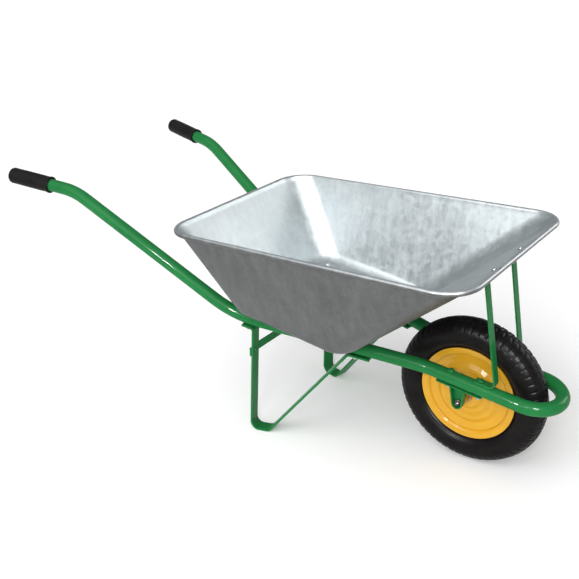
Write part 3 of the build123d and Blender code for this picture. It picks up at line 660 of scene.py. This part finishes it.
GRIP_R = 20.6 * MM
GRIP_ROUNDING = 8 * MM
GRIP_BORE_R = 16.05 * MM
GRIP_END_WALL = 4 * MM
GRIP_VENT_R = 1.6 * MM
GRIP_DRAFT = 0.35 * MM
GRIP_STATIONS = 40
GRIP_SIDES = 96
GRIP_SHARP_DEGREES = 50
GRIP_PLAIN_ENDS = 12 * MM
LIP_CHAMFER = 0.9 * MM
# Collar section in millimetres: distance from the open end, radius
COLLAR = (
    (-9.0, 20.4),
    (-7.6, 20.8),
    (-6.2, 21.3),
    (-4.8, 21.6),
    (-3.6, 21.7),
    (-2.2, 21.7),
    (-0.8, 21.4),
    (-0.1, 20.6),
)


def lathe(profile, origin, axis, steps, name, materials, sharp_degrees=35.0):
    """Closed profile of (distance along the axis, radius) turned about an axis."""
    axis, first, second = side_axes(axis)
    turns = np.arange(steps) * 2 * pi / steps
    round_way = np.outer(np.cos(turns), first) + np.outer(np.sin(turns), second)
    rows = [np.array(origin) + axis * along + round_way * radius for along, radius in profile]
    faces = grid_faces(len(rows), steps, wrap_rows=True)
    return new_mesh(name, np.concatenate(rows), faces, materials, None, sharp_degrees)


def build_grip(node, name):
    """Moulded sleeve: rounded blind end with a vent, slight swell and a soft collar."""
    points = mesh_points(node)
    middle, axis = long_axis(points)
    if axis[0] < 0:
        axis = -axis
    along = (points - middle) @ axis
    start = points[np.abs(along - along.min()) < 0.5 * MM].mean(0)
    length = along.max() - along.min()
    face_r = GRIP_R - GRIP_ROUNDING
    profile = [(0.0, GRIP_VENT_R), (0.0, face_r)]
    for degrees in range(0, 91, 10):
        turn = radians(degrees)
        profile.append((GRIP_ROUNDING * (1 - cos(turn)), face_r + GRIP_ROUNDING * sin(turn)))
    for spot in np.linspace(GRIP_PLAIN_ENDS, length - GRIP_PLAIN_ENDS, GRIP_STATIONS):
        profile.append((spot, GRIP_R - GRIP_DRAFT + GRIP_DRAFT * sin(pi * spot / length)))
    profile += [(length + spot * MM, radius * MM) for spot, radius in COLLAR]
    profile += [(length - 0.05 * MM, GRIP_BORE_R + LIP_CHAMFER), (length - LIP_CHAMFER, GRIP_BORE_R)]
    profile += [(GRIP_END_WALL, GRIP_BORE_R), (GRIP_END_WALL, GRIP_VENT_R)]
    grip = lathe(profile, start, axis, GRIP_SIDES, name, [GRIP_RUBBER], GRIP_SHARP_DEGREES)
    finish_piece(grip, "frame", "grip_rubber", node)


build_grip("left_grip", "left_grip_sleeve")
build_grip("right_grip", "right_grip_sleeve")

# ---------------------------------------------------------------- bolts and nuts

M8_PITCH = 1.25
M6_PITCH = 1.0
# Bolts, their nuts, head radius and height, shank radius, threaded length, pitch, width across flats
FASTENERS = (
    ("tray_bolts", "tray_nuts", 7.5, 4.0, 4.0, 24.0, M8_PITCH, 13.0),
    ("bracket_rear_bolts", "bracket_rear_nuts", 8.0, 5.0, 4.0, 20.0, M8_PITCH, 13.0),
    ("bracket_front_bolts", "bracket_front_nuts", 8.0, 5.0, 4.0, 20.0, M8_PITCH, 13.0),
    ("stay_bolts", "stay_nuts", 7.0, 3.6, 3.0, 13.0, M6_PITCH, 10.0),
    ("brace_bolts", "brace_nuts", 6.5, 3.6, 3.0, 12.0, M6_PITCH, 10.0),
)
AXLE_NUT_FLATS = 14 * MM
AXLE_NUT_BORE_R = 5.05 * MM
NUT_BORE_CLEARANCE = 0.05 * MM
HEAD_STEPS = 8
DOME_SHARE = 0.92
HEAD_EDGE = 0.3 * MM
STEPS_PER_THREAD = 8
THREAD_DEPTH_SHARE = 0.55
THREAD_RUN_OUT = 0.8 * MM
END_CHAMFER = 0.9 * MM
END_R = 0.02 * MM
THIN = 0.05 * MM
BOLT_SIDES = 28
NUT_SIDES = 72
NUT_CONE = 0.9 * MM
NUT_CONE_LEVELS = (0.0, 0.25, 0.5, 0.75, 1.0)
NUT_FACE_SHARE = 0.97
NUT_CONE_RISE = 1.75
NUT_CHAMFER = 0.5 * MM


def bolt_rows(head_r, head_height, shank_r, length, thread_length, pitch):
    """Rows of (distance below the head's top, radius, thread depth) down a bolt."""
    rows = []
    for step in range(HEAD_STEPS + 1):
        turn = radians(90 * step / HEAD_STEPS)
        rows.append((head_height * (1 - cos(turn)) * DOME_SHARE, max(END_R, head_r * sin(turn)), 0.0))
    rows.append((head_height - THIN, head_r, 0.0))
    rows.append((head_height, head_r - HEAD_EDGE, 0.0))
    rows.append((head_height, shank_r, 0.0))
    plain_end = length - thread_length
    rows.append((plain_end - pitch, shank_r, 0.0))
    depth = THREAD_DEPTH_SHARE * pitch
    count = int(thread_length / pitch * STEPS_PER_THREAD)
    for step in range(count + 1):
        spot = plain_end + (thread_length - THREAD_RUN_OUT) * step / count
        rows.append((spot, shank_r, depth * min(1.0, step / STEPS_PER_THREAD)))
    rows.append((length - THIN, shank_r - END_CHAMFER, 0.0))
    rows.append((length, END_R, 0.0))
    return rows


def build_bolts(node, head_r, head_height, shank_r, thread_length, pitch):
    """Round-headed bolts with rolled threads, one on the axis of each CAD bolt."""
    turns = np.arange(BOLT_SIDES) * 2 * pi / BOLT_SIDES
    verts, faces = [], []
    for points in islands(node):
        middle, axis = long_axis(points)
        along = (points - middle) @ axis
        off_axis = np.linalg.norm(points - middle - np.outer(along, axis), axis=1)
        if along[off_axis.argmax()] > 0:
            axis = -axis
            along = -along
        top = middle + axis * along.min()
        length = along.max() - along.min()
        tail = points[along > along.max() - 1.5 * MM].mean(0)
        top = tail - (tail - top) @ axis * axis
        _, first, second = side_axes(axis)
        round_way = np.outer(np.cos(turns), first) + np.outer(np.sin(turns), second)
        rows = bolt_rows(head_r, head_height, shank_r, length, thread_length, pitch)
        base = len(verts)
        for spot, radius, depth in rows:
            wave = np.abs(((spot / pitch - turns / (2 * pi)) % 1.0) * 2 - 1)
            ring = radius - depth * wave
            verts.extend(top + axis * spot + round_way * ring[:, None])
        faces.extend(tuple(base + i for i in f) for f in grid_faces(len(rows), BOLT_SIDES))
        faces.append(tuple(base + i for i in reversed(range(BOLT_SIDES))))
        faces.append(tuple(base + (len(rows) - 1) * BOLT_SIDES + i for i in range(BOLT_SIDES)))
    slot = SLOT_OF[node]
    piece = new_mesh(f"{node}_threaded", verts, faces, [SLOT_MATERIAL[slot]], sharp_degrees=50)
    finish_piece(piece, "frame", slot, node)


def bolt_axes(node):
    """Middle and axis of each CAD bolt in a node."""
    return [long_axis(points) for points in islands(node)]


def build_nuts(node, axes, across_flats, bore_r):
    """Hexagon nuts with coned corners, one in place of each CAD nut."""
    turns = np.arange(NUT_SIDES) * 2 * pi / NUT_SIDES
    half_flat = across_flats / 2
    flat_r = half_flat / np.cos((turns % (pi / 3)) - pi / 6)
    verts, faces = [], []
    for points in islands(node):
        spot = points.mean(0)
        middle, axis = min(axes, key=lambda pair: np.linalg.norm(np.cross(spot - pair[0], pair[1])))
        along = (points - middle) @ axis
        centre = middle + axis * (along.max() + along.min()) / 2
        height = along.max() - along.min()
        across = points - centre - np.outer((points - centre) @ axis, axis)
        corner = across[np.linalg.norm(across, axis=1).argmax()]
        first = corner / np.linalg.norm(corner)
        second = np.cross(axis, first)
        round_way = np.outer(np.cos(turns), first) + np.outer(np.sin(turns), second)
        base = len(verts)
        heights = [-height / 2 + NUT_CONE * share for share in NUT_CONE_LEVELS]
        heights += [height / 2 - NUT_CONE * share for share in reversed(NUT_CONE_LEVELS)]
        rows = []
        for level in heights:
            depth = height / 2 - abs(level)
            rows.append((level, np.minimum(flat_r, NUT_FACE_SHARE * half_flat + NUT_CONE_RISE * depth)))
        for level, radius in (
            (height / 2, bore_r + NUT_CHAMFER),
            (height / 2 - NUT_CHAMFER, bore_r),
            (-height / 2 + NUT_CHAMFER, bore_r),
            (-height / 2, bore_r + NUT_CHAMFER),
        ):
            rows.append((level, np.full(NUT_SIDES, radius)))
        for level, radius in rows:
            verts.extend(centre + axis * level + round_way * radius[:, None])
        ring_faces = grid_faces(len(rows), NUT_SIDES, wrap_rows=True)
        faces.extend(tuple(base + i for i in f) for f in ring_faces)
    slot = SLOT_OF[node]
    piece = new_mesh(f"{node}_hex", verts, faces, [SLOT_MATERIAL[slot]], sharp_degrees=28)
    finish_piece(piece, "frame", slot, node)


for bolts, nuts, *sizes in FASTENERS:
    head_r, head_height, shank_r, thread, pitch, flats = [size * MM for size in sizes]
    axes = bolt_axes(bolts)
    build_nuts(nuts, axes, flats, shank_r + NUT_BORE_CLEARANCE)
    build_bolts(bolts, head_r, head_height, shank_r, thread, pitch)
build_nuts("axle_nuts", [(np.array(AXLE), np.array((0.0, 1.0, 0.0)))], AXLE_NUT_FLATS, AXLE_NUT_BORE_R)

# ---------------------------------------------------------------- stage, lights and camera

FLOOR_GLOW = 0.15
FLOOR_HALF = 40.0
LIT_POINT = Vector((0, 0, 0.3))
LIGHT_REACH = 3.0
SURROUND_LIGHT = 0.34
SURROUND_SEEN = 1.0

# Camera for the barrow as drawn: degrees round from the right-hand side and up, and its roll
CAMERA_AZIMUTH = 38.06
CAMERA_ELEVATION = 23.95
CAMERA_ROLL = -3.47
CAMERA_DISTANCE = 2.199
CAMERA_LENS = 52.6
CAMERA_SENSOR = 36.0
TARGET_BACK = 0.519
TARGET_HEIGHT = 0.317


def build_floor():
    """Plain pale studio floor."""
    shade = Shade("studio_floor", Roughness=0.9, Specular_IOR_Level=0.1, Emission_Strength=FLOOR_GLOW)
    shade.shader.inputs["Emission Color"].default_value = (1.0, 1.0, 1.0, 1.0)
    shade.colour(shade.mix(shade.noise(3.0, 2.0), (0.93, 0.93, 0.93), (0.945, 0.945, 0.945)))
    corners = [(x * FLOOR_HALF, y * FLOOR_HALF, 0) for x, y in ((-1, -1), (1, -1), (1, 1), (-1, 1))]
    floor = new_mesh("studio_floor", corners, [(0, 1, 2, 3)], [shade.material])


def build_light(name, way, size_x, size_y, power, gloss_only=False):
    """Rectangular softbox aimed at the barrow from a direction; it may light only glossy reflections."""
    data = bpy.data.lights.new(name, "AREA")
    data.shape = "RECTANGLE"
    data.size = size_x
    data.size_y = size_y
    data.energy = power
    lamp = bpy.data.objects.new(name, data)
    way = Vector(way).normalized()
    lamp.location = LIT_POINT + way * LIGHT_REACH
    lamp.rotation_mode = "QUATERNION"
    lamp.rotation_quaternion = (-way).to_track_quat("-Z", "Y")
    lamp.visible_camera = False
    lamp.visible_diffuse = not gloss_only
    bpy.context.scene.collection.objects.link(lamp)


def build_sun(name, direction, strength, spread_degrees):
    """Distant light from a direction, soft by its angular size."""
    data = bpy.data.lights.new(name, "SUN")
    data.energy = strength
    data.angle = radians(spread_degrees)
    lamp = bpy.data.objects.new(name, data)
    lamp.rotation_mode = "QUATERNION"
    lamp.rotation_quaternion = (-Vector(direction)).to_track_quat("-Z", "Y")
    bpy.context.scene.collection.objects.link(lamp)


def build_world():
    """Even dim surround for the light, seen by the camera as white."""
    world = bpy.data.worlds.new("studio")
    world.use_nodes = True
    nodes = world.node_tree.nodes
    background = nodes["Background"]
    background.inputs["Color"].default_value = (1.0, 1.0, 1.0, 1.0)
    strength = nodes.new("ShaderNodeMapRange")
    strength.inputs["To Min"].default_value = SURROUND_LIGHT
    strength.inputs["To Max"].default_value = SURROUND_SEEN
    seen = nodes.new("ShaderNodeLightPath").outputs["Is Camera Ray"]
    world.node_tree.links.new(seen, strength.inputs["Value"])
    world.node_tree.links.new(strength.outputs["Result"], background.inputs["Strength"])
    bpy.context.scene.world = world


def build_camera():
    """Camera at the photograph's viewing angle, which is given for the barrow as drawn."""
    azimuth, elevation = radians(CAMERA_AZIMUTH), radians(CAMERA_ELEVATION)
    target = Vector((AXLE.x - TARGET_BACK, 0, TARGET_HEIGHT))
    back = Vector((sin(azimuth) * cos(elevation), -cos(azimuth) * cos(elevation), sin(elevation)))
    facing = (-back).to_track_quat("-Z", "Y") @ Quaternion((0, 0, 1), radians(CAMERA_ROLL))
    data = bpy.data.cameras.new("camera")
    data.lens = CAMERA_LENS
    data.sensor_width = CAMERA_SENSOR
    camera = bpy.data.objects.new("camera", data)
    camera.location = TIP @ (target + back * CAMERA_DISTANCE)
    camera.rotation_mode = "QUATERNION"
    camera.rotation_quaternion = TIP.to_quaternion() @ facing
    bpy.context.scene.collection.objects.link(camera)
    bpy.context.scene.camera = camera


build_floor()
build_world()
# Directions run from the barrow to the light; areas and distances are in metres, powers in watts
build_sun("top_sun", (-0.15, -0.8, 1.5), 1.75, 75)
build_sun("fill_sun", (0.3, -1.0, 0.7), 0.7, 60)
build_light("key_softbox", (1.2, -2.4, 1.3), 0.5, 0.5, 18)
build_light("streak_card", (0.70, -0.50, 0.42), 0.5, 0.8, 180, gloss_only=True)
build_light("rear_card", (0.66, 0.70, 0.36), 1.2, 1.2, 38, gloss_only=True)
build_light("glint_lamp", (0.06, -0.88, 0.48), 0.14, 0.14, 90, gloss_only=True)
build_camera()
bpy.context.scene.view_settings.view_transform = "Standard"
